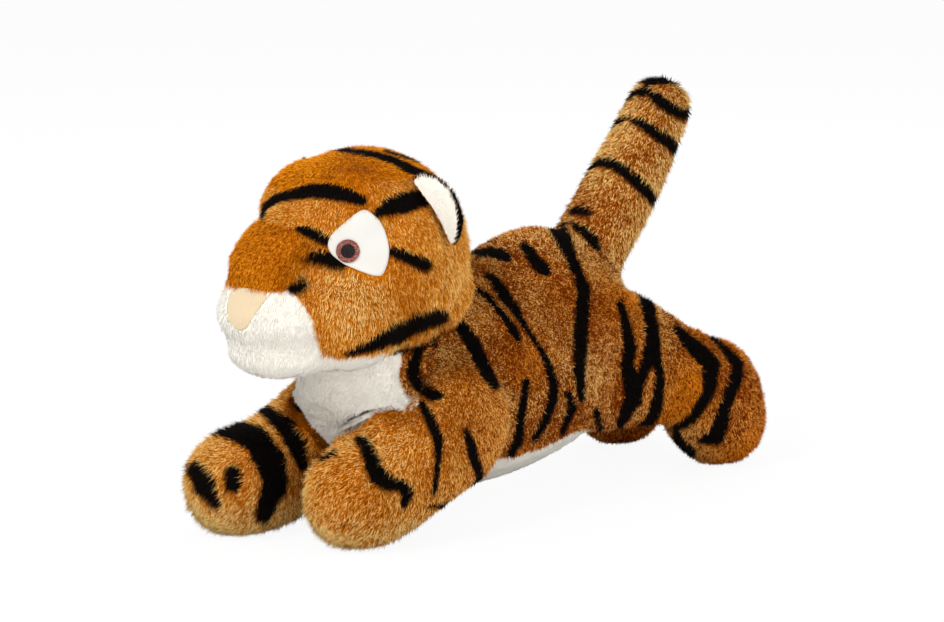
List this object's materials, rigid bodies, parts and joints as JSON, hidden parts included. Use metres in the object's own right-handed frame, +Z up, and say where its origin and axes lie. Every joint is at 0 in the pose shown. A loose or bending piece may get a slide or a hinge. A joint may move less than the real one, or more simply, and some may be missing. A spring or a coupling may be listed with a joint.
{
  "type": "plush tiger",
  "caption": "Stuffed plush tiger stretched out in a low run, with embroidered eyes, a sewn nose, raised tail and soft turning neck, ears and legs.",
  "frame": {"origin": "on the ground, under the middle of the tiger's length and width", "axes": "+X to the tiger's left, +Y towards its tail, +Z up"},
  "size_m": [0.1268, 0.3447, 0.211],
  "materials": {
    "orange_plush": "striped plush, 4 mm pile",
    "dark_orange_plush": "plush, 3 mm pile",
    "white_plush": "plush, 4 mm pile",
    "white_felt": "short felt",
    "peach_cloth": "finely ribbed cloth",
    "brown_thread": "satin stitch",
    "black_thread": "satin stitch"
  },
  "bodies": {
    "torso": {"torso": "orange_plush", "chest_bib": "white_plush", "belly_panel": "white_plush"},
    "neck": {"neck": "white_plush"},
    "head": {"head": "orange_plush", "muzzle": "white_plush", "chin": "white_plush", "snout_bridge": "dark_orange_plush", "nose": "peach_cloth", "eye_patch_left": "white_felt", "eye_patch_right": "white_felt", "iris_left": "brown_thread", "iris_right": "brown_thread", "pupil_left": "black_thread", "pupil_right": "black_thread"},
    "ear_left": {"ear_left": "orange_plush", "ear_lining_left": "white_plush"},
    "ear_right": {"ear_right": "orange_plush", "ear_lining_right": "white_plush"},
    "foreleg_left": {"foreleg_left": "orange_plush"},
    "foreleg_right": {"foreleg_right": "orange_plush"},
    "hind_leg_left": {"hind_leg_left": "orange_plush", "hind_foot_left": "orange_plush"},
    "hind_leg_right": {"hind_leg_right": "orange_plush", "hind_foot_right": "orange_plush"},
    "tail": {"tail": "orange_plush"}
  },
  "joints": [
    {"name": "neck_turn", "type": "hinge", "parent": "torso", "child": "neck", "pos_m": [0, -0.088, 0.138], "axis": [0, 0, 1], "range_deg": [-25, 25], "stiffness_Nm_per_rad": 0.8},
    {"name": "head_nod", "type": "hinge", "parent": "neck", "child": "head", "pos_m": [0, -0.088, 0.138], "axis": [1, 0, 0], "range_deg": [-15, 6], "stiffness_Nm_per_rad": 0.8},
    {"name": "ear_fold_left", "type": "hinge", "parent": "head", "child": "ear_left", "pos_m": [0.04536, -0.08368, 0.16257], "axis": [-0.2855, -0.2547, 0.9239], "range_deg": [-12, 12], "stiffness_Nm_per_rad": 0.05},
    {"name": "ear_fold_right", "type": "hinge", "parent": "head", "child": "ear_right", "pos_m": [-0.04536, -0.08368, 0.16257], "axis": [0.2855, -0.2547, 0.9239], "range_deg": [-12, 12], "stiffness_Nm_per_rad": 0.05},
    {"name": "foreleg_left_swing", "type": "hinge", "parent": "torso", "child": "foreleg_left", "pos_m": [0.038, -0.06, 0.052], "axis": [1, 0, 0], "range_deg": [-12, 12], "stiffness_Nm_per_rad": 2},
    {"name": "foreleg_right_swing", "type": "hinge", "parent": "torso", "child": "foreleg_right", "pos_m": [-0.038, -0.06, 0.052], "axis": [1, 0, 0], "range_deg": [-12, 12], "stiffness_Nm_per_rad": 2},
    {"name": "hind_leg_left_swing", "type": "hinge", "parent": "torso", "child": "hind_leg_left", "pos_m": [0.034, 0.052, 0.07], "axis": [1, 0, 0], "range_deg": [-12, 12], "stiffness_Nm_per_rad": 2},
    {"name": "hind_leg_right_swing", "type": "hinge", "parent": "torso", "child": "hind_leg_right", "pos_m": [-0.034, 0.052, 0.07], "axis": [1, 0, 0], "range_deg": [-12, 12], "stiffness_Nm_per_rad": 2},
    {"name": "tail_swing", "type": "hinge", "parent": "torso", "child": "tail", "pos_m": [0, 0.068, 0.112], "axis": [1, 0, 0], "range_deg": [-15, 15], "stiffness_Nm_per_rad": 0.5}
  ]
}
